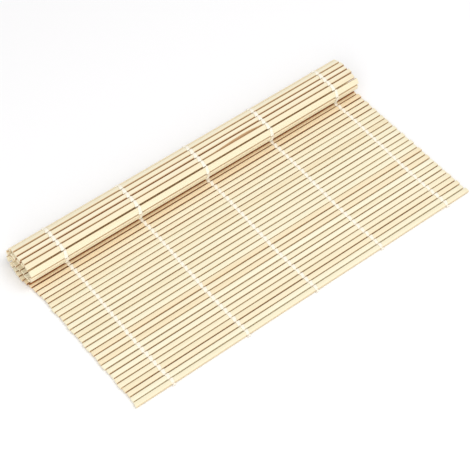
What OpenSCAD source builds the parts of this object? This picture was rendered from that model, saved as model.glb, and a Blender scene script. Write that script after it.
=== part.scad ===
// Sushi rolling mat: bamboo slats held side by side by twined cotton yarn, with the far end rolled up
// into a flattened roll.
// Millimetres, +Z up. The slats run along X and the flat part of the mat comes forward, towards -Y.
// The origin is on the table, under the middle of the mat and its roll.

/* [Slats] */
// Length of a slat
slat_len = 240; // [120:1:400]
// Width of a slat
slat_w = 3.2; // [2:0.1:5]
// Thickness of a slat
slat_t = 1.7; // [1:0.1:2.5]
// Space between two slats, which the crossing yarns fill
slat_gap = 0.5; // [0.3:0.05:1.2]
// Planed bevel along the four long edges of a slat
slat_bevel = 0.3; // [0.1:0.05:0.45]
// The most that a slat is cut short at either end
end_scatter = 0.8; // [0:0.1:3]
// Number of slats that lie flat, from the front edge to the foot of the roll
flat_slats = 32; // [25:1:60]

/* [Yarn rows] */
// Number of yarn rows that bind the slats
rows = 5; // [2:1:7]
// Distance of the first row from the left ends of the slats
left_inset = 24.5; // [8:0.5:40]
// Distance of the last row from the right ends of the slats
right_inset = 16.5; // [8:0.5:40]
// How far a row strays from even spacing, as rows tied by hand do
row_wander = 1.4; // [0:0.1:4]
// How far the rows sway sideways over the flat part of the mat
row_sway = 0.8; // [0:0.1:3]
// Width of a yarn where it lies on a slat
yarn_w = 1.2; // [0.6:0.05:1.6]
// Height of a yarn above the face of its slat
yarn_h = 0.42; // [0.2:0.02:0.6]
// Sideways shift of a yarn between the two edges of a slat
yarn_slant = 1; // [0.4:0.1:2]
// Running gap between the yarns of two neighbouring slats
yarn_room = 0.06; // [0.04:0.01:0.12]
// Thickness of the knot that ends a row
knot_d = 1.1; // [0.8:0.05:1.6]
// Length of the knot, along the slats
knot_len = 2; // [1.2:0.1:3]

/* [Roll] */
// Radius of the bend line in the first half turn of the roll, at its back
roll_r = 6; // [5.5:0.1:20]
// Smallest radius of the bend line in a half turn
eye_r = 3; // [3:0.1:5]
// Length of the straight runs from one half turn to the next, which make the roll flatter
roll_run = 12.5; // [0:0.5:30]
// How far in front of the last flat gap the first half turn begins
foot_lead = 0.6; // [0:0.1:3]
// Free space between two layers of the roll
layer_room = 0.35; // [0.15:0.05:1]

/* [Hidden] */
// Slats at the front that fold one by one
front_slats = 21;
// Slats over the back of the roll that unroll one by one
back_slats = 5;
pitch = slat_w + slat_gap;
// The slats bend about a line in their upper faces, at this height when the mat lies flat
bend_z = slat_t + yarn_h;
// Yarn between two slats, to either side of the slat that it holds
side_yarn = (slat_gap - yarn_room) / 2;
loop_half = slat_w / 2 + side_yarn;
// The yarn's upper edges lean in, so that two slats can fold towards each other
lean = 0.55;
// Radial distance from one layer of the roll to the next
layer = slat_t + 2 * yarn_h + layer_room;
half_turns = 1 + floor(2 * (roll_r - eye_r) / layer);

// Radius of half turn j of the roll, counted from 0 at the back of the outer turn
function turn_r(j) = roll_r - j * layer / 2;

// Distance along the mat from the start of the first half turn to that of half turn j
function turn_start(j) = j * roll_run + PI * j * (roll_r - (j - 1) * layer / 4);

// Share of half turn j that is behind a point at distance s along the mat
function turn_share(j, s) = max(0, min(1, (s - turn_start(j)) / (PI * turn_r(j))));

// Slope that half turns 0 to j give the mat at distance s
function turned(j, s) = j < 0 ? 0 : turned(j - 1, s) + 180 * turn_share(j, s);

roll_slats = floor((turn_start(half_turns) - foot_lead) / pitch);
slats = flat_slats + roll_slats;

// Steps of the sines that scatter the slats' ends and the yarn rows
left_step = 137;
right_step = 97;
wander_step = 85;

bamboo = "#f2dfb4";
cotton = "#fbf8f0";

// Slope of roll slat k, counted from 0 at the foot of the roll
function heading(k) = turned(half_turns - 1, (k + 0.5) * pitch + foot_lead);

// Bend line in front of roll slat k, as [y, z] from the front edge of the mat
function bend_line(k) =
    k == 0 ? [flat_slats * pitch, bend_z]
    : bend_line(k - 1) + pitch * [cos(heading(k - 1)), sin(heading(k - 1))];

// Slope and middle of slat i, counted from 0 at the front edge
function slope(i) = i < flat_slats ? 0 : heading(i - flat_slats);
function middle(i) =
    i < flat_slats ? [(i + 0.5) * pitch, bend_z]
    : bend_line(i - flat_slats) + pitch / 2 * [cos(slope(i)), sin(slope(i))];

// Depth of the mat from the front knots to the back of the roll
outer_corners = [[loop_half, -slat_t], [-loop_half, -slat_t],
                 [loop_half - side_yarn, -slat_t - yarn_h], [side_yarn - loop_half, -slat_t - yarn_h]];
back_y = max([for (i = [0 : slats - 1]) for (c = outer_corners)
    middle(i)[0] + c[0] * cos(slope(i)) - c[1] * sin(slope(i))]);
knot_out = knot_d * 0.2;
front_y = pitch / 2 - loop_half - knot_out - knot_d / 2;
centre_y = (front_y + back_y) / 2;

function two_digits(k) = str(k < 10 ? "0" : "", k);
function numbered(name, k) = str(name, "_", two_digits(k));

// Length that slat i lacks at its left end and at its right end
function left_cut(i) = end_scatter * abs(sin(i * left_step));
function right_cut(i) = end_scatter * abs(sin(i * right_step));

// Place along the slats of yarn row r where it crosses slat i
function row_x(r, i) =
    left_inset - slat_len / 2
    + (slat_len - left_inset - right_inset) * r / (rows - 1)
    + row_wander * sin(r * wander_step)
    - row_sway * sin(360 * i / flat_slats);

// Moves what is drawn about the middle of a slat's upper face to slat i
module at_slat(i) {
    translate([0, middle(i)[0] - centre_y, middle(i)[1]])
        rotate([slope(i), 0, 0])
            children();
}

// Extrudes an outline drawn in [y, z] along X, from x0 to x1
module along_x(x0, x1) {
    translate([x0, 0, 0])
        rotate([90, 0, 90])
            linear_extrude(height = x1 - x0)
                children();
}

// Section of a slat, with its upper face at z = 0
module slat_section() {
    side = slat_w / 2;
    polygon([
        [side - slat_bevel, 0], [slat_bevel - side, 0],
        [-side, -slat_bevel], [-side, slat_bevel - slat_t],
        [slat_bevel - side, -slat_t], [side - slat_bevel, -slat_t],
        [side, slat_bevel - slat_t], [side, -slat_bevel]
    ]);
}

module slat(i) {
    color(bamboo)
        at_slat(i)
            along_x(left_cut(i) - slat_len / 2, slat_len / 2 - right_cut(i))
                slat_section();
}

// Outline in [y, z] of the yarn that is wrapped round a slat
module wrap_section() {
    difference() {
        polygon([
            [loop_half - lean, yarn_h], [lean - loop_half, yarn_h],
            [-loop_half, 0], [-loop_half, -slat_t],
            [side_yarn - loop_half, -slat_t - yarn_h], [loop_half - side_yarn, -slat_t - yarn_h],
            [loop_half, -slat_t], [loop_half, 0]
        ]);
        slat_section();
    }
}

// A yarn that crosses one face of a slat at a slant, its outer side flattened and its edges rounded off
module crossing(slant) {
    turn = atan(slant / (2 * loop_half));
    rotate([90, 0, -turn])
        linear_extrude(height = 4 * loop_half, center = true)
            polygon([
                [-yarn_w / 2, -slat_bevel], [yarn_w / 2, -slat_bevel], [yarn_w / 2, yarn_h / 2],
                [yarn_w / 3, yarn_h], [-yarn_w / 3, yarn_h], [-yarn_w / 2, yarn_h / 2]
            ]);
}

// The yarn of one row where it holds one slat: one yarn over it, one under it, crossed on either side
module yarn_loop() {
    half = (yarn_slant + yarn_w) / 2;
    intersection() {
        along_x(-half - yarn_w, half + yarn_w)
            wrap_section();
        union() {
            crossing(yarn_slant);
            translate([0, 0, -slat_t])
                mirror([0, 0, 1])
                    crossing(-yarn_slant);
            translate([-half, -loop_half, -slat_t])
                cube([2 * half, 2 * loop_half, slat_t]);
        }
    }
}

// The yarn of all rows on slat i
module yarn(i) {
    color(cotton)
        at_slat(i)
            for (r = [0 : rows - 1])
                translate([row_x(r, i), 0, 0])
                    yarn_loop();
}

// A knot beside a slat, on its side away from the mat: towards -Y at the front edge, and +Y in the roll
module knot(away) {
    profile = [
        [0, -knot_len / 2], [knot_d * 0.3, -knot_len / 2], [knot_d / 2, -knot_len / 4],
        [knot_d / 2, knot_len / 4], [knot_d * 0.3, knot_len / 2], [0, knot_len / 2]
    ];
    intersection() {
        translate([0, away * (loop_half + knot_out), -slat_t / 2])
            rotate([0, 90, 0])
                rotate_extrude($fn = 24)
                    polygon(profile);
        translate([-knot_len, away > 0 ? loop_half : -loop_half - 2 * knot_d, -slat_t - yarn_h])
            cube([2 * knot_len, 2 * knot_d, slat_t + 2 * yarn_h]);
    }
}

// The knots of all rows on slat i
module knots(i, away) {
    color(cotton)
        at_slat(i)
            for (r = [0 : rows - 1])
                translate([row_x(r, i), 0, 0])
                    knot(away);
}

module bed_slats() {
    for (i = [front_slats : flat_slats - 1])
        slat(i);
}

module bed_yarn() {
    for (i = [front_slats : flat_slats - 1])
        yarn(i);
}

module core_slats() {
    for (i = [flat_slats + back_slats : slats - 1])
        slat(i);
}

module core_yarn() {
    for (i = [flat_slats + back_slats : slats - 1])
        yarn(i);
}

for (k = [1 : front_slats]) {
    slat(k - 1);
    yarn(k - 1);
}
bed_slats();
bed_yarn();
for (k = [1 : back_slats]) {
    slat(flat_slats + k - 1);
    yarn(flat_slats + k - 1);
}
core_slats();
core_yarn();
knots(0, -1);  // front_knots
knots(slats - 1, 1);  // core_knots
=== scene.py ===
"""A sushi rolling mat: planed bamboo slats bound by twined cotton yarn, the far end rolled up."""
import math
import random

import bpy
from mathutils import Matrix, Vector


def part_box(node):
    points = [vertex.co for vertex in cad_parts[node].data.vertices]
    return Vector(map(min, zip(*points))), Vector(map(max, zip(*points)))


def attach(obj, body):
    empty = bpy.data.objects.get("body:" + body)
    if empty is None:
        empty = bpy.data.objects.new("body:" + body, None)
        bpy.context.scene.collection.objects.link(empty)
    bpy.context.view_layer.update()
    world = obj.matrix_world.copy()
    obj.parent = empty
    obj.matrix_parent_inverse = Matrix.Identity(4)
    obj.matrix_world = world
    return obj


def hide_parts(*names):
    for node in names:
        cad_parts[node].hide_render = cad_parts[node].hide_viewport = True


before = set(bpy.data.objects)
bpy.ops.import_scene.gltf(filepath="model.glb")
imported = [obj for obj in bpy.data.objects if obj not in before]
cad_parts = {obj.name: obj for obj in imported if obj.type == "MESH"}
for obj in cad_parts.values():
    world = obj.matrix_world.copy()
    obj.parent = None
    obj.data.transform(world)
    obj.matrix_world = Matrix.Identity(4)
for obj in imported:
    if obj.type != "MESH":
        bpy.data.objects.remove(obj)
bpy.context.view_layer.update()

MM = 0.001
SEED = 11

# Sizes of the slats, the yarn and the roll in millimetres, as in the part
SLAT_LEN = 240.0
SLAT_W = 3.2
SLAT_T = 1.7
SLAT_GAP = 0.5
END_SCATTER = 0.8
FLAT_SLATS = 32
ROWS = 5
LEFT_INSET = 24.5
RIGHT_INSET = 16.5
ROW_WANDER = 1.4
ROW_SWAY = 0.8
YARN_H = 0.42
YARN_SLANT = 1.0
ROLL_R = 6.0
EYE_R = 3.0
ROLL_RUN = 12.5
FOOT_LEAD = 0.6
LAYER_ROOM = 0.35

# Steps in degrees of the sines that scatter the slats' ends and the yarn rows, as in the part
LEFT_STEP = 137
RIGHT_STEP = 97
WANDER_STEP = 85

PITCH = SLAT_W + SLAT_GAP
BEND_Z = SLAT_T + YARN_H
LAYER = SLAT_T + 2 * YARN_H + LAYER_ROOM
HALF_TURNS = 1 + math.floor(2 * (ROLL_R - EYE_R) / LAYER)

# Slats that are bodies of their own, at the front and over the back of the roll
FRONT_SLATS = sum(name.startswith("front_slat_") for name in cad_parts)
BACK_SLATS = sum(name.startswith("roll_slat_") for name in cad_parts)
# The first slat of the core, which is one rigid body
CORE_START = FLAT_SLATS + BACK_SLATS


def turn_start(j):
    """Distance along the mat from the start of the roll's first half turn to that of half turn j."""
    return j * ROLL_RUN + math.pi * j * (ROLL_R - (j - 1) * LAYER / 4)


ROLL_SLATS = math.floor((turn_start(HALF_TURNS) - FOOT_LEAD) / PITCH)
SLATS = FLAT_SLATS + ROLL_SLATS

# Front edge of the mat's first half gap, from the front slat's own box
FRONT_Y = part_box("front_slat_01")[0][1] / MM - SLAT_GAP / 2


def sin_deg(angle):
    """Sine of an angle in degrees."""
    return math.sin(math.radians(angle))


def heading(k):
    """Slope in radians of roll slat k, counted from 0 at the foot of the roll."""
    distance = (k + 0.5) * PITCH + FOOT_LEAD
    turned = 0.0
    for j in range(HALF_TURNS):
        length = math.pi * (ROLL_R - j * LAYER / 2)
        turned += math.pi * min(max((distance - turn_start(j)) / length, 0.0), 1.0)
    return turned


def slat_places():
    """The middle (y, z) of each slat's upper face in millimetres, and its slope in radians."""
    places = [(FRONT_Y + (i + 0.5) * PITCH, BEND_Z, 0.0) for i in range(FLAT_SLATS)]
    y, z = FRONT_Y + FLAT_SLATS * PITCH, BEND_Z
    for k in range(ROLL_SLATS):
        a = heading(k)
        dy, dz = math.cos(a), math.sin(a)
        places.append((y + PITCH / 2 * dy, z + PITCH / 2 * dz, a))
        y, z = y + PITCH * dy, z + PITCH * dz
    return places


PLACES = slat_places()


def slope(i):
    """Slope of slat i in radians."""
    return PLACES[i][2]


def body_and_nodes(i):
    """The body, slat node and yarn node that slat i belongs to."""
    if i < FRONT_SLATS:
        return f"front_slat_{i + 1:02d}", f"front_slat_{i + 1:02d}", f"front_yarn_{i + 1:02d}"
    if i < FLAT_SLATS:
        return "bed", "bed_slats", "bed_yarn"
    if i < CORE_START:
        k = i - FLAT_SLATS + 1
        return f"roll_slat_{k:02d}", f"roll_slat_{k:02d}", f"roll_yarn_{k:02d}"
    return "core", "core_slats", "core_yarn"


def slat_matrix(i):
    """Takes a point in millimetres about the middle of slat i's upper face to metres in the frame."""
    y, z, angle = PLACES[i]
    return Matrix.Scale(MM, 4) @ Matrix.Translation((0, y, z)) @ Matrix.Rotation(angle, 4, "X")


def row_x(r, i):
    """Place along the slats, in millimetres, of yarn row r where it crosses slat i."""
    span = SLAT_LEN - LEFT_INSET - RIGHT_INSET
    even = LEFT_INSET - SLAT_LEN / 2 + span * r / (ROWS - 1)
    return even + ROW_WANDER * sin_deg(r * WANDER_STEP) - ROW_SWAY * sin_deg(360 * i / FLAT_SLATS)


def new_object(name, data):
    """A linked object with a mesh, light or camera as its data."""
    made = bpy.data.objects.new(name, data)
    bpy.context.collection.objects.link(made)
    return made


def new_piece(name, verts, faces, material, matrix):
    """A smooth mesh object from points in millimetres."""
    mesh = bpy.data.meshes.new(name)
    mesh.from_pydata([matrix @ Vector(v) for v in verts], [], faces)
    mesh.shade_smooth()
    mesh.materials.append(material)
    return new_object(name, mesh)


def add_attribute(mesh, name, domain, values):
    mesh.attributes.new(name, "FLOAT", domain).data.foreach_set("value", values)


# Materials

# Tones of planed bamboo, from a dark streak to the palest
BAMBOO_TONES = (
    (0.0, (0.73, 0.57, 0.33)),
    (0.4, (0.86, 0.79, 0.57)),
    (0.75, (0.91, 0.87, 0.68)),
    (1.0, (0.93, 0.91, 0.72)),
)
# How much streaks, fibres and clouds add to a slat's own tone, and what brings the sum back to the ramp
STREAK_TONE = 0.5
FIBRE_TONE = 0.22
CLOUD_TONE = 0.25
TONE_OFFSET = 0.485
# What warmth multiplies the bamboo by: the bamboo's own, and warm light painted near and on the roll
WARM_COLOUR = (0.97, 0.77, 0.60)
# What the stain and painted shade multiply the bamboo by, from none up to their full value below
FULL_STAIN_AND_SHADE = 2.0
STAIN_AND_SHADE_COLOURS = (
    (0.0, (1.0, 1.0, 1.0)),
    (0.5, (0.73, 0.56, 0.42)),
    (1.0, (0.40, 0.16, 0.07)),
)
# Height of the fibres' relief in metres
FIBRE_RELIEF = 0.00006

# Tones of the cotton, from its shaded fibres to the palest
COTTON_TONES = (
    (0.2, (0.94, 0.89, 0.78)),
    (0.55, (0.98, 0.945, 0.83)),
    (1.0, (0.985, 0.96, 0.85)),
)
# Shade painted into the hollows between two plies: what their depth multiplies the cotton by, from none to a
# depth of FULL_GROOVE
FULL_GROOVE = 2.0
GROOVE_SHADE_COLOURS = (
    (0.0, (1.0, 1.0, 1.0)),
    (0.5, (0.88, 0.82, 0.76)),
    (1.0, (0.50, 0.34, 0.24)),
)
# Number of the cotton's fine fibres to a metre, and height of their relief in metres
FUZZ_PER_METRE = 5200
FUZZ_RELIEF = 0.00005

FLOOR_COLOUR = (0.94, 0.935, 0.94)


def shader(name):
    material = bpy.data.materials.new(name)
    material.use_nodes = True
    tree = material.node_tree
    return material, tree.nodes, tree.links, tree.nodes["Principled BSDF"]


def noise_along_x(nodes, links, per_metre_x, per_metre_yz, detail):
    """Noise in the object's own space, stretched along the slats."""
    place = nodes.new("ShaderNodeTexCoord")
    stretch = nodes.new("ShaderNodeMapping")
    stretch.inputs["Scale"].default_value = (per_metre_x, per_metre_yz, per_metre_yz)
    links.new(place.outputs["Object"], stretch.inputs["Vector"])
    noise = nodes.new("ShaderNodeTexNoise")
    noise.inputs["Scale"].default_value = 1.0
    noise.inputs["Detail"].default_value = detail
    noise.inputs["Roughness"].default_value = 0.6
    links.new(stretch.outputs["Vector"], noise.inputs["Vector"])
    return noise.outputs["Fac"]


def attribute(nodes, name):
    node = nodes.new("ShaderNodeAttribute")
    node.attribute_name = name
    return node.outputs["Fac"]


def maths(nodes, links, operation, *values):
    """A Math node whose inputs are sockets or numbers."""
    node = nodes.new("ShaderNodeMath")
    node.operation = operation
    for socket, value in zip(node.inputs, values):
        if isinstance(value, (int, float)):
            socket.default_value = value
        else:
            links.new(value, socket)
    return node.outputs[0]


def colour_ramp(nodes, links, factor, stops):
    node = nodes.new("ShaderNodeValToRGB")
    elements = node.color_ramp.elements
    while len(elements) < len(stops):
        elements.new(0.5)
    for element, (position, colour) in zip(elements, stops):
        element.position = position
        element.color = (*colour, 1)
    links.new(factor, node.inputs["Fac"])
    return node.outputs["Color"]


def multiplied(nodes, links, factor, a, b):
    """A Mix node that multiplies colour a by b, which are sockets or colours, as far as factor says."""
    node = nodes.new("ShaderNodeMix")
    node.data_type = "RGBA"
    node.blend_type = "MULTIPLY"
    sockets = [s for s in node.inputs if s.type == "RGBA"]
    for socket, value in zip(sockets, (a, b)):
        if isinstance(value, tuple):
            socket.default_value = (*value, 1)
        else:
            links.new(value, socket)
    if isinstance(factor, (int, float)):
        node.inputs["Factor"].default_value = factor
    else:
        links.new(factor, node.inputs["Factor"])
    return next(s for s in node.outputs if s.type == "RGBA")


def add_bump(nodes, links, bsdf, height, strength, distance):
    bump = nodes.new("ShaderNodeBump")
    bump.inputs["Strength"].default_value = strength
    bump.inputs["Distance"].default_value = distance
    links.new(height, bump.inputs["Height"])
    links.new(bump.outputs["Normal"], bsdf.inputs["Normal"])


def bamboo_material():
    """Pale planed bamboo: each slat has its own tone, fine fibres along it and darker sawn sides, with shade
    painted into the gaps and at the crease, and warm light painted near and on the roll.
    """
    material, nodes, links, bsdf = shader("bamboo")
    bsdf.inputs["Roughness"].default_value = 0.5
    bsdf.inputs["Specular IOR Level"].default_value = 0.3
    fibres = noise_along_x(nodes, links, per_metre_x=30, per_metre_yz=2600, detail=4.0)
    streaks = noise_along_x(nodes, links, per_metre_x=9, per_metre_yz=420, detail=3.0)
    clouds = noise_along_x(nodes, links, per_metre_x=12, per_metre_yz=60, detail=2.0)
    tone = maths(nodes, links, "MULTIPLY_ADD", streaks, STREAK_TONE, attribute(nodes, "tone"))
    tone = maths(nodes, links, "MULTIPLY_ADD", fibres, FIBRE_TONE, tone)
    tone = maths(nodes, links, "MULTIPLY_ADD", clouds, CLOUD_TONE, tone)
    tone = maths(nodes, links, "SUBTRACT", tone, TONE_OFFSET)
    face = colour_ramp(nodes, links, tone, BAMBOO_TONES)
    # The warmth attribute holds the bamboo's own warmth and the warm light painted near and on the roll
    warm = multiplied(nodes, links, attribute(nodes, "warmth_and_painted_light"), face, WARM_COLOUR)
    # The stain attribute holds the sawn sides' colour together with shade painted into the gaps, along the
    # core's face edges and at the crease
    depth = maths(nodes, links, "MULTIPLY", attribute(nodes, "stain_and_shade"), 1 / FULL_STAIN_AND_SHADE)
    stain_and_shade = colour_ramp(nodes, links, depth, STAIN_AND_SHADE_COLOURS)
    links.new(multiplied(nodes, links, 1.0, warm, stain_and_shade), bsdf.inputs["Base Color"])
    add_bump(nodes, links, bsdf, fibres, strength=0.35, distance=FIBRE_RELIEF)
    return material


def cotton_material():
    """Soft white cotton yarn with fine fibres, and shade painted into the hollows between its plies and at
    the stitches' fronts.
    """
    material, nodes, links, bsdf = shader("cotton")
    bsdf.inputs["Roughness"].default_value = 0.9
    bsdf.inputs["Specular IOR Level"].default_value = 0.15
    bsdf.inputs["Sheen Weight"].default_value = 0.25
    bsdf.inputs["Sheen Roughness"].default_value = 0.5
    place = nodes.new("ShaderNodeTexCoord")
    fuzz = nodes.new("ShaderNodeTexNoise")
    fuzz.inputs["Scale"].default_value = FUZZ_PER_METRE
    fuzz.inputs["Detail"].default_value = 3.0
    links.new(place.outputs["Object"], fuzz.inputs["Vector"])
    colour = colour_ramp(nodes, links, fuzz.outputs["Fac"], COTTON_TONES)
    # The groove attribute paints shade into the hollows between plies and at the stitches' fronts
    depth = maths(nodes, links, "MULTIPLY", attribute(nodes, "groove_shade"), 1 / FULL_GROOVE)
    groove_shade = colour_ramp(nodes, links, depth, GROOVE_SHADE_COLOURS)
    links.new(multiplied(nodes, links, 1.0, colour, groove_shade), bsdf.inputs["Base Color"])
    add_bump(nodes, links, bsdf, fuzz.outputs["Fac"], strength=0.5, distance=FUZZ_RELIEF)
    return material


def floor_material():
    material, _, _, bsdf = shader("floor")
    bsdf.inputs["Roughness"].default_value = 0.9
    bsdf.inputs["Specular IOR Level"].default_value = 0.0
    bsdf.inputs["Base Color"].default_value = (*FLOOR_COLOUR, 1)
    return material


BAMBOO = bamboo_material()
COTTON = cotton_material()

# Shape of the slats, in millimetres

LENGTH_STEPS = 36
CORNER_STEPS = 3
# How much narrower and thinner than the part's a slat may be, and the radius of its corners
FLAT_NARROWING = 0.22
ROLL_NARROWING = 0.10
THINNING = 0.10
CORNER_RADII = 0.18, 0.30
# The most that a slat is bent, turned and cut askew
BOW = 0.10
SKEW = 0.10
CUT_SLANT = 0.10
# Swells that make its width uneven: their number, waves along the slat and share of the width
SWELLS = 3
SWELL_WAVES = 0.5, 3.5
SWELL_SHARES = 0.005, 0.02
USUAL_FULLNESS = 0.985
# The most that a slat has slipped to the left, from the front bend of the roll inwards
SLIP = 0.8
# Bevel round its cut ends
CUT_BEVEL = 0.08
# How much wider a slat of the core is at its inner face, and what an open gap adds at each of its faces
INNER_BULGE = 0.10
OPEN_BULGE = 0.32
OPEN_INNER_BULGE = 0.13
# Fold at which a gap of the roll is so open that the outer half of its sides is painted as lit
OPEN_FOLD = math.radians(30)
# The last slat that is seen in front of the roll, and how many slats away from it the shade and warm light
# painted beside the roll end
LAST_SEEN = 27
NEAR_SLATS = 5
# How far the slats round the foot of the roll stick out at its left end, the slat that does so most, how
# many slats away from it this ends, and the power by which it fades
LEFT_PUSH = 2.3
PUSHED_MOST = 30
PUSHED_SLATS = 4.5
PUSH_FADE = 0.7
# A split along one edge of a slat of the roll: its two ends, its deepest place, its depth, the power by
# which it opens, and the share of the slat's thickness that it leaves whole
SPLIT_SLAT = FLAT_SLATS + 7
SPLIT_ENDS = 11.0, 50.0
SPLIT_MIDDLE = 36.0
SPLIT_DEPTH = 1.15
SPLIT_TAPER = 1.5
UNSPLIT_SHARE = 0.6

# Tones, stains and painted shade of the slats. Stain and shade are 0 on a planed face, about 1 on a sawn
# side, and darkest, at most their full value, where shade is painted deep in the gaps and at the crease.

# Tone of a flat slat, the painted shade that nearness to the roll adds to it, tone of a roll slat, spread
# from slat to slat, and the most that the tone changes from one end of a slat to the other
FLAT_TONE = 0.52
NEAR_SHADE_TONE = -0.04
ROLL_TONE = 0.58
TONE_SPREAD = 0.065
TONE_DRIFT = 0.10
# Slats of the roll's front with a shifted tone: one darker, and one painted paler to light the shade where
# it faces down to the crease
TONE_SHIFTS_AND_PAINTED_LIGHT = {FLAT_SLATS + 9: -0.12, FLAT_SLATS + 10: 0.16}
# Usual warmth, its spread from slat to slat, the warm bounce light painted near the roll, and warmth painted
# on the roll's slats for warmer light on them
WARMTH = 0.10
WARMTH_SPREAD = 0.10
NEAR_BOUNCE_WARMTH = 0.5
ROLL_LIGHT_WARMTH = 0.12
# Stain of the cut ends, and of the front side of the front slat
END_STAIN = 0.05
FRONT_STAIN = 0.6
# Stain of a flat slat's sawn side with shade painted deeper into the gap, at its outer and inner edge, and
# the painted shade that nearness to the roll adds to it
FLAT_STAINS_AND_SHADE = 1.0, 1.25
NEAR_PAINTED_SHADE = 0.85, 0.65
# Strength of the stain and painted shade in the gap behind the front slat, and its range in the other flat
# gaps
FIRST_GAP_SHADE = 0.35
GAP_SHADES = 0.6, 1.2
# Stain and painted shade of a roll slat's side at its outer and inner edge, where the mat is straight and
# beside an open gap; shut gaps are painted dark as in shade, open ones paler as if lit
ROLL_STAINS_AND_SHADE = 1.85, 2.0
OPEN_STAINS_AND_SHADE = 0.1, 1.35
# Share of a corner's width that stays free of stain and painted shade
CLEAN_SHARE = 0.25
# Shade painted at the edge of a core slat's outer face, where the mat is straight, and how far onto the face
# it runs
FACE_EDGE_SHADE = 1.7
FACE_EDGE_SHADE_WIDTH = 0.16
# Shade painted along the back edge of the last slat that is seen, for the dark crease under the roll: its
# strength, how far it reaches, where it fades, and to what
CREASE_SHADE = 2.0
CREASE_WIDTH = 1.2
CREASE_FADE_WIDTH = 1.35
CREASE_FADE_SHADE = 0.4
# The most stain and painted shade inside the split
SPLIT_STAIN_AND_SHADE = 1.2


def fixed_in_core(i, side):
    """Whether slat i and its neighbour on this side are both in the core, where they never fold."""
    return CORE_START <= min(i, i + side) and max(i, i + side) < SLATS


def near_roll(i):
    """How close flat slat i lies to the roll, from 0 to 1 for the last one that is seen."""
    return max(0.0, 1 - abs(i - LAST_SEEN) / NEAR_SLATS)


def openness(i, side):
    """How far the gap on this side of slat i is open, from 0 where the mat is straight to 1 at OPEN_FOLD."""
    other = min(max(i + side, 0), SLATS - 1)
    return min(1.0, abs(slope(i) - slope(other)) / OPEN_FOLD)


def left_push(i):
    """How far slat i is pushed out at its left end."""
    share = abs(i - PUSHED_MOST) / PUSHED_SLATS
    return LEFT_PUSH * math.cos(math.pi / 2 * share) ** PUSH_FADE if share < 1 else 0.0


class Strip:
    """The small differences that one hand-split slat has from the next, with the shade and warm light
    painted on it near and on the roll.
    """

    def __init__(self, i, rng):
        flat = i < FLAT_SLATS
        self.i = i
        self.width = SLAT_W - rng.uniform(0.0, FLAT_NARROWING if flat else ROLL_NARROWING)
        self.thickness = SLAT_T - rng.uniform(0.0, THINNING)
        self.corner = rng.uniform(*CORNER_RADII)
        self.bow = rng.uniform(-BOW, BOW)
        self.skew = rng.uniform(-SKEW, SKEW)
        self.swells = [
            (rng.uniform(*SWELL_WAVES), rng.uniform(0, 2 * math.pi), rng.uniform(*SWELL_SHARES))
            for _ in range(SWELLS)
        ]
        # Near the roll a flat slat is painted darker and warmer for the roll's shade and warm bounce; roll
        # slats are painted warmer for their light
        usual_tone = FLAT_TONE + NEAR_SHADE_TONE * near_roll(i) if flat else ROLL_TONE
        # One roll slat near the crease is painted paler against the shade it lies in
        self.tone = rng.gauss(usual_tone, TONE_SPREAD) + TONE_SHIFTS_AND_PAINTED_LIGHT.get(i, 0.0)
        self.drift = rng.uniform(-TONE_DRIFT, TONE_DRIFT)
        painted_warmth = NEAR_BOUNCE_WARMTH * near_roll(i) ** 2 + (0.0 if flat else ROLL_LIGHT_WARMTH)
        self.warmth_and_painted_light = max(0.0, rng.gauss(WARMTH, WARMTH_SPREAD)) + painted_warmth
        slip = rng.uniform(0.0, SLIP) if slope(i) > math.pi else 0.0
        self.left = END_SCATTER * abs(sin_deg(i * LEFT_STEP)) - SLAT_LEN / 2 - slip - left_push(i)
        self.right = SLAT_LEN / 2 - END_SCATTER * abs(sin_deg(i * RIGHT_STEP)) - slip / 2
        self.cut_slants = rng.uniform(-CUT_SLANT, CUT_SLANT), rng.uniform(-CUT_SLANT, CUT_SLANT)

    def shift(self, x):
        """Sideways stray of the strip at a place along it."""
        t = 2 * x / SLAT_LEN
        return self.bow * (1 - t * t) + self.skew * t

    def fullness(self, x):
        """Share of the strip's width that it has at a place along it."""
        turn = 2 * math.pi * x / SLAT_LEN
        swell = sum(share * math.sin(waves * turn + phase) for waves, phase, share in self.swells)
        return min(1.0, USUAL_FULLNESS + swell)

    def cut(self, step):
        """Slant of the strip's cut end at its first and last step."""
        return {0: self.cut_slants[0], LENGTH_STEPS: self.cut_slants[1]}.get(step, 0.0)


def gap_shade(i, side):
    """How strong the stain and painted shade are in the gap on this side of flat slat i. They are weak
    beside the front slat.
    """
    gap = i if side > 0 else i - 1
    return FIRST_GAP_SHADE if gap == 0 else random.Random(gap).uniform(*GAP_SHADES)


def side_stains_and_shade(i, side):
    """Stain and painted shade of one long side of slat i, at its outer edge and at its inner edge."""
    if i == 0 and side < 0:
        return FRONT_STAIN, FRONT_STAIN
    if i < FLAT_SLATS:
        # A flat slat's sides carry shade painted into its gaps, fullest and darkest next to the roll
        near = near_roll(i)
        shade = near + (1 - near) * gap_shade(i, side)
        return tuple((flat + added * near) * shade for flat, added in zip(FLAT_STAINS_AND_SHADE, NEAR_PAINTED_SHADE))
    # In the roll a side is painted dark where its gap is shut, and paler outside where the gap opens to the
    # light
    opened = openness(i, side)
    return tuple(shut + (wide - shut) * opened for shut, wide in zip(ROLL_STAINS_AND_SHADE, OPEN_STAINS_AND_SHADE))


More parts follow.
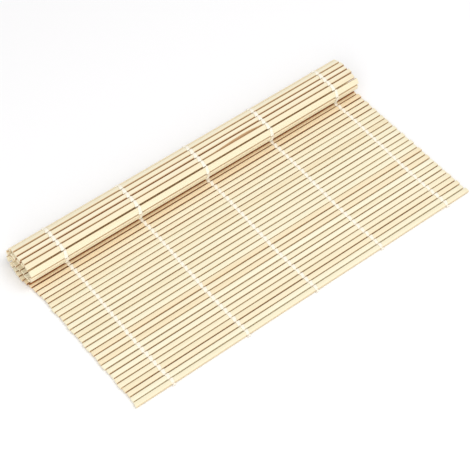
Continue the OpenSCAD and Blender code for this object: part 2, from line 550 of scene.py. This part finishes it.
def rounded_corner(strip, side, up):
    """One corner of a strip's section as (y, z, stain and painted shade), anticlockwise seen with y to the
    right and z up.

    side is 1 at the strip's back and -1 at its front, up is 1 at its upper face and -1 at its lower face. In
    the roll the lower face is outside."""
    edge, deep = side_stains_and_shade(strip.i, side)
    outside = (up > 0) == (strip.i < FLAT_SLATS)
    half = strip.width / 2
    if fixed_in_core(strip.i, side):
        opened = openness(strip.i, side)
        half += OPEN_BULGE * opened if outside else INNER_BULGE + OPEN_INNER_BULGE * opened
    radius = strip.corner
    middle_y = side * (half - radius)
    middle_z = -radius if up > 0 else radius - strip.thickness
    start = {(1, 1): 0, (-1, 1): 90, (-1, -1): 180, (1, -1): 270}[side, up]
    points = []
    for n in range(CORNER_STEPS + 1):
        a = math.radians(start + 90 * n / CORNER_STEPS)
        share = max(0.0, abs(math.cos(a)) - CLEAN_SHARE) / (1 - CLEAN_SHARE)
        stain_and_shade = share * (edge if outside else deep)
        points.append((middle_y + radius * math.cos(a), middle_z + radius * math.sin(a), stain_and_shade))
    return points


def side_middle(strip, side):
    """The middle of one long side of a strip's section as (y, z, stain and painted shade)."""
    edge, deep = side_stains_and_shade(strip.i, side)
    return side * strip.width / 2, -strip.thickness / 2, (edge + deep) / 2


def shaded_face_edge(strip, side, end):
    """The end of a core slat's outer face with its painted shade, and a clean point on the face beside it.
    """
    y, z, _ = end
    straight = 1 - openness(strip.i, side) if fixed_in_core(strip.i, side) else 0.0
    return (y, z, FACE_EDGE_SHADE * straight), (y - side * FACE_EDGE_SHADE_WIDTH, z, 0.0)


def strip_outline(strip):
    """Section of a strip as (y, z, stain and painted shade): a rounded rectangle with its upper face at z =
    0.
    """
    back_top = rounded_corner(strip, 1, 1)
    front_top = rounded_corner(strip, -1, 1)
    front_bottom = rounded_corner(strip, -1, -1)
    back_bottom = rounded_corner(strip, 1, -1)
    upper_face, lower_face = [], []
    # Core slats get shade painted along the edges of their outer faces beside shut gaps
    if strip.i >= CORE_START:
        front_bottom[-1], front_clean = shaded_face_edge(strip, -1, front_bottom[-1])
        back_bottom[0], back_clean = shaded_face_edge(strip, 1, back_bottom[0])
        lower_face = [front_clean, back_clean]
    # The dark crease under the roll is painted shade along the back edge of this slat
    if strip.i == LAST_SEEN:
        half = strip.width / 2
        back_top[-1] = (*back_top[-1][:2], CREASE_SHADE)
        upper_face = [
            (half - CREASE_WIDTH, 0.0, CREASE_SHADE),
            (half - CREASE_FADE_WIDTH, 0.0, CREASE_FADE_SHADE),
        ]
    return [
        *back_top, *upper_face, *front_top, side_middle(strip, -1),
        *front_bottom, *lower_face, *back_bottom, side_middle(strip, 1),
    ]


def split_share(i, x):
    """How deep slat i is split at a place along it, from 0 to 1."""
    if i != SPLIT_SLAT or not SPLIT_ENDS[0] < x < SPLIT_ENDS[1]:
        return 0.0
    end = SPLIT_ENDS[0] if x < SPLIT_MIDDLE else SPLIT_ENDS[1]
    return math.sin(math.pi / 2 * (x - end) / (SPLIT_MIDDLE - end)) ** SPLIT_TAPER


def split_point(strip, x, y, z, stain_and_shade):
    """The y and the stain and painted shade at a place along the strip of a point of its outline, which the
    split may move.
    """
    split = split_share(strip.i, x)
    if not split or y <= 0 or z >= -UNSPLIT_SHARE * strip.thickness:
        return y, stain_and_shade
    return y - SPLIT_DEPTH * split, min(stain_and_shade, SPLIT_STAIN_AND_SHADE)


def tube_faces(first, rings, count):
    """The sides between rings of count points each, from the point numbered first."""
    faces = []
    for s in range(rings - 1):
        for n in range(count):
            a = first + s * count + n
            b = first + s * count + (n + 1) % count
            faces.append((a, a + count, b + count, b))
    return faces


def make_slat(strip):
    """One slat as a rounded strip with slightly uneven width and obliquely cut ends."""
    outline = strip_outline(strip)
    count = len(outline)
    verts, stains_and_shade, tones = [], [], []
    for step in range(LENGTH_STEPS + 1):
        t = step / LENGTH_STEPS
        x = strip.left + (strip.right - strip.left) * t
        for outline_y, z, outline_stain_and_shade in outline:
            y, stain_and_shade = split_point(strip, x, outline_y, z, outline_stain_and_shade)
            verts.append((x + strip.cut(step) * y, y * strip.fullness(x) + strip.shift(x), z))
            stains_and_shade.append(stain_and_shade)
            tones.append(strip.tone + strip.drift * (t - 0.5))
    faces = tube_faces(0, LENGTH_STEPS + 1, count)
    faces.append(tuple(range(count)))
    faces.append(tuple(reversed(range(LENGTH_STEPS * count, len(verts)))))
    piece = new_piece(f"slat_{strip.i + 1:02d}", verts, faces, BAMBOO, slat_matrix(strip.i))
    mesh = piece.data
    ends = {len(faces) - 2, len(faces) - 1}
    for n in ends:
        mesh.polygons[n].use_smooth = False
    # Stain and painted shade at each face corner; the cut ends get END_STAIN
    corner_stains_and_shade = [
        END_STAIN if face.index in ends else stains_and_shade[v]
        for face in mesh.polygons for v in face.vertices
    ]
    add_attribute(mesh, "stain_and_shade", "CORNER", corner_stains_and_shade)
    add_attribute(mesh, "tone", "POINT", tones)
    add_attribute(mesh, "warmth_and_painted_light", "POINT", [strip.warmth_and_painted_light] * len(verts))
    bevels = piece.modifiers.new("cut_edges", "BEVEL")
    bevels.width = CUT_BEVEL * MM
    bevels.segments = 2
    bevels.limit_method = "ANGLE"
    bevels.angle_limit = math.radians(60)
    return piece


# Yarn, in millimetres

PLIES = 3
AROUND = 18
# Depth of the hollow between two plies, as a share of the yarn's radius, and length of one turn of the plies
GROOVE = 0.22
LAY_LENGTH = 3.4


class Thread:
    """Gathers tubes of plied yarn into one mesh."""

    def __init__(self):
        self.verts, self.faces, self.groove_shade = [], [], []

    def add(self, path, widths, heights, across, phase=0.0, shades=None):
        """A plied yarn along a path. Its half widths lie along the unit vector across.

        shades, painted shade at the stitches' fronts, are added to the depth of the grooves, ring by ring."""
        first, travelled = len(self.verts), 0.0
        for n, point in enumerate(path):
            before, after = path[max(n - 1, 0)], path[min(n + 1, len(path) - 1)]
            if n:
                travelled += (point - path[n - 1]).length
            along = (after - before).normalized()
            top = across.cross(along).normalized()
            turn = phase + 2 * math.pi * travelled / LAY_LENGTH
            shade = shades[n] if shades else 0.0
            for k in range(AROUND):
                a = 2 * math.pi * k / AROUND
                hollow = 1 - abs(math.cos(PLIES / 2 * (a - turn)))
                reach = 1 - GROOVE * hollow
                self.verts.append(point + across * (math.cos(a) * widths[n] * reach)
                                  + top * (math.sin(a) * heights[n] * reach))
                self.groove_shade.append(hollow + shade)
        last = len(self.verts) - AROUND
        # The rings run the other way round than a slat's outline, so their faces are turned over
        self.faces += [(a, d, c, b) for a, b, c, d in tube_faces(first, len(path), AROUND)]
        self.faces.append(tuple(reversed(range(first, first + AROUND))))
        self.faces.append(tuple(range(last, last + AROUND)))

    def finish(self, name, matrix):
        piece = new_piece(name, self.verts, self.faces, COTTON, matrix)
        add_attribute(piece.data, "groove_shade", "POINT", self.groove_shade)
        return piece


STITCH_RINGS = 21
STITCH_W = 2.3
# Shares of that width that a stitch may have, how much of it the back end gains and the front end loses
STITCH_WIDTHS = 0.9, 1.05
STITCH_FLARE = 0.15
STITCH_TAPER = 0.25
# Shares of the part's slant that a stitch may have, and how far it may stray along the slat
STITCH_SLANTS = 0.85, 1.15
STITCH_STRAY = 0.12
# Half heights of a stitch on the slat and in the gap, and the top of its path above the slat's face
STITCH_HALF_H = 0.235
GAP_HALF_H = 0.15
STITCH_TOP = YARN_H - 0.01
STITCH_CLIMB = SLAT_T / 2 + STITCH_TOP - STITCH_HALF_H
# How steeply it climbs out of the gap: the smaller, the steeper
CLIMB_POWER = 0.32
# Free space between a stitch's end and the middle of its gap
END_ROOM = 0.04
REACH = PITCH / 2 - GAP_HALF_H - END_ROOM
# How high a stitch stays where it crosses an open gap
OPEN_RISE = 0.6
# Shade painted on a stitch at its front, where it comes up between two slats, and where that begins
STITCH_SHADE = 1.1
SHADE_START = 0.35


def stitch_end(i, side, over):
    """How far a stitch's end reaches from the middle of slat i, and how high it stays, from 0 to 1.

    Over the bends of the roll's front, which never fold, the yarn outside runs on across the open gap."""
    if over or not fixed_in_core(i, side):
        return REACH, 0.0
    height = OPEN_RISE * openness(i, side)
    depth = SLAT_T / 2 + STITCH_CLIMB * height
    fold = abs(slope(i) - slope(i + side))
    return REACH + depth * math.tan(fold / 2), height


def add_stitch(thread, i, x, slant, wide, over, rng):
    """A yarn from one gap, over or under a slat, into the next gap."""
    path, widths, heights, shades = [], [], [], []
    ends = {side: stitch_end(i, side, over) for side in (-1, 1)}
    for n in range(STITCH_RINGS):
        t = 2 * n / (STITCH_RINGS - 1) - 1
        reach, lowest = ends[1 if t > 0 else -1]
        rise = lowest + (1 - lowest) * max(math.cos(t * math.pi / 2), 0.0) ** CLIMB_POWER
        lift = -SLAT_T / 2 + STITCH_CLIMB * rise
        z = lift if over else -SLAT_T - lift
        path.append(Vector((x + slant / 2 * t, reach * math.sin(t * math.pi / 2), z)))
        widths.append(wide / 2 * (1 + (STITCH_FLARE * t if t > 0 else -STITCH_TAPER * t * t)))
        heights.append(GAP_HALF_H + (STITCH_HALF_H - GAP_HALF_H) * rise * rise)
        shades.append(STITCH_SHADE * max(0.0, -t - SHADE_START) / (1 - SHADE_START))
    thread.add(path, widths, heights, Vector((1, 0, 0)), rng.uniform(0, 2 * math.pi), shades)


def make_yarn(strip, rng):
    """The yarn of all rows on one slat: in each row one yarn over it and one under it."""
    thread = Thread()
    for r in range(ROWS):
        x = row_x(r, strip.i) + rng.uniform(-STITCH_STRAY, STITCH_STRAY)
        for over in (True, False):
            slant = YARN_SLANT * rng.uniform(*STITCH_SLANTS) * (1 if over else -1)
            add_stitch(thread, strip.i, x, slant, STITCH_W * rng.uniform(*STITCH_WIDTHS), over, rng)
    return thread.finish(f"yarn_{strip.i + 1:02d}", slat_matrix(strip.i))


KNOT_RINGS = 40
KNOT_YARN = 0.27
# Distance of a knot's middle from the slat, and the turns that its yarn makes
KNOT_OUT = 0.46
KNOT_TURNS = 1.5
# Half length, half depth and half height of a knot's loops, how much the length and height vary round them,
# and how often in a turn
KNOT_HALF_LEN = 0.52
KNOT_HALF_DEPTH = 0.20
KNOT_HALF_H = 0.34
KNOT_LEN_WAVE = 0.16
KNOT_H_WAVE = 0.08
KNOT_WAVES = 1.5
# Direction across a knot's yarn, close to the axis that it winds round
KNOT_ACROSS = Vector((0.1, 1, 0.2)).normalized()
TAIL_RINGS = 8
TAIL_YARN = 0.22
# Where a tail starts beside the knot's middle, how far it runs along and away from the slat, and its drop
TAIL_START = 0.2, 0.1
TAIL_RUN = 0.75, 0.35
TAIL_DROP = 0.55
TAIL_LENGTHS = 0.8, 1.3


def knot_path(x, middle_y, phase):
    """The yarn of a knot, one and a half times round beside the slat."""
    path = []
    for n in range(KNOT_RINGS):
        a = 2 * math.pi * n / KNOT_RINGS * KNOT_TURNS
        wave = KNOT_WAVES * a + phase
        path.append(Vector((
            x + (KNOT_HALF_LEN + KNOT_LEN_WAVE * math.cos(wave)) * math.cos(a),
            middle_y + KNOT_HALF_DEPTH * math.sin(wave),
            -SLAT_T / 2 + (KNOT_HALF_H + KNOT_H_WAVE * math.cos(wave)) * math.sin(a))))
    return path


def tail_path(x, middle_y, side, away, length):
    """A cut tail that leaves a knot to one side and droops."""
    path = []
    for n in range(TAIL_RINGS):
        t = n / (TAIL_RINGS - 1)
        path.append(Vector((
            x + side * (TAIL_START[0] + TAIL_RUN[0] * t * length),
            middle_y + away * (TAIL_START[1] + TAIL_RUN[1] * t * length),
            -SLAT_T / 2 - TAIL_DROP * t * t)))
    return path


def make_knots(name, i, away, rng):
    """The knots that end the rows beside slat i, each with two short cut tails."""
    thread = Thread()
    middle_y = away * (SLAT_W / 2 + KNOT_OUT)
    knot_halves = [KNOT_YARN] * KNOT_RINGS
    tail_halves = [TAIL_YARN] * TAIL_RINGS
    for r in range(ROWS):
        x, phase = row_x(r, i), rng.uniform(0, 2 * math.pi)
        path = knot_path(x, middle_y, phase)
        thread.add(path, knot_halves, knot_halves, KNOT_ACROSS, phase)
        for side in (1, -1):
            path = tail_path(x, middle_y, side, away, rng.uniform(*TAIL_LENGTHS))
            thread.add(path, tail_halves, tail_halves, Vector((0, 0, 1)), phase)
    return thread.finish(name, slat_matrix(i))


def place(piece, body, node, slot_name):
    """Hands a piece to its body and hides its node; slot_name, the material slot, is not used."""
    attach(piece, body)
    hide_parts(node)


def build_mat():
    """Every slat with its yarn, and the knots, each on its body and in the place of its node."""
    rng = random.Random(SEED)
    for i in range(SLATS):
        body, slat_node, yarn_node = body_and_nodes(i)
        strip = Strip(i, rng)
        place(make_slat(strip), body, slat_node, "bamboo")
        place(make_yarn(strip, rng), body, yarn_node, "cotton")
    place(make_knots("front_ties", 0, -1, rng), "front_slat_01", "front_knots", "cotton")
    place(make_knots("core_ties", SLATS - 1, 1, rng), "core", "core_knots", "cotton")


# Floor, light and camera, in metres

FLOOR_HALF = 3.0
# Name, place, size and power in watts
LAMPS = (
    ("key", (0.35, -0.40, 1.20), 0.9, 7.2),
    ("fill", (-0.80, -0.55, 0.90), 0.9, 3.8),
    ("low", (-0.85, -0.95, 0.35), 0.8, 2.6),
)
SKY_STRENGTH = 0.62

# The photograph's view, found from the mat's corners and yarn rows. Its target is in millimetres, from the
# middle of the slats and from the mat's front edge.
CAMERA_AZIMUTH = math.radians(-37.51)
CAMERA_ELEVATION = math.radians(51.83)
CAMERA_ROLL = math.radians(-0.583)
CAMERA_DISTANCE = 0.8931
CAMERA_LENS = 118.83
SENSOR_WIDTH = 36
CLIP_END = 20
TARGET_X = -7.146
TARGET_FROM_FRONT = 60.391


def make_floor():
    signs = (-1, -1), (1, -1), (1, 1), (-1, 1)
    corners = [(FLOOR_HALF * x, FLOOR_HALF * y, 0) for x, y in signs]
    mesh = bpy.data.meshes.new("floor")
    mesh.from_pydata(corners, [], [(0, 1, 2, 3)])
    mesh.materials.append(floor_material())
    new_object("floor", mesh)


def make_lights():
    world = bpy.data.worlds.new("world")
    bpy.context.scene.world = world
    world.use_nodes = True
    background = world.node_tree.nodes["Background"]
    background.inputs["Color"].default_value = (1.0, 1.0, 1.0, 1)
    background.inputs["Strength"].default_value = SKY_STRENGTH
    for name, location, size, power in LAMPS:
        light = bpy.data.lights.new(name, "AREA")
        light.size = size
        light.energy = power
        lamp = new_object(name, light)
        lamp.location = location
        lamp.rotation_euler = (-Vector(location)).to_track_quat("-Z", "Y").to_euler()


def make_camera():
    data = bpy.data.cameras.new("camera")
    data.lens = CAMERA_LENS
    data.sensor_width = SENSOR_WIDTH
    data.clip_end = CLIP_END
    camera = new_object("camera", data)
    target = Vector((TARGET_X, FRONT_Y + TARGET_FROM_FRONT, 0)) * MM
    level = math.cos(CAMERA_ELEVATION)
    away = Vector((
        math.sin(CAMERA_AZIMUTH) * level,
        -math.cos(CAMERA_AZIMUTH) * level,
        math.sin(CAMERA_ELEVATION)))
    look = (-away).to_track_quat("-Z", "Y").to_matrix().to_4x4()
    camera.matrix_world = (Matrix.Translation(target + away * CAMERA_DISTANCE) @ look
                           @ Matrix.Rotation(CAMERA_ROLL, 4, "Z"))
    bpy.context.scene.camera = camera


build_mat()
make_floor()
make_lights()
make_camera()
bpy.context.scene.view_settings.view_transform = "Standard"
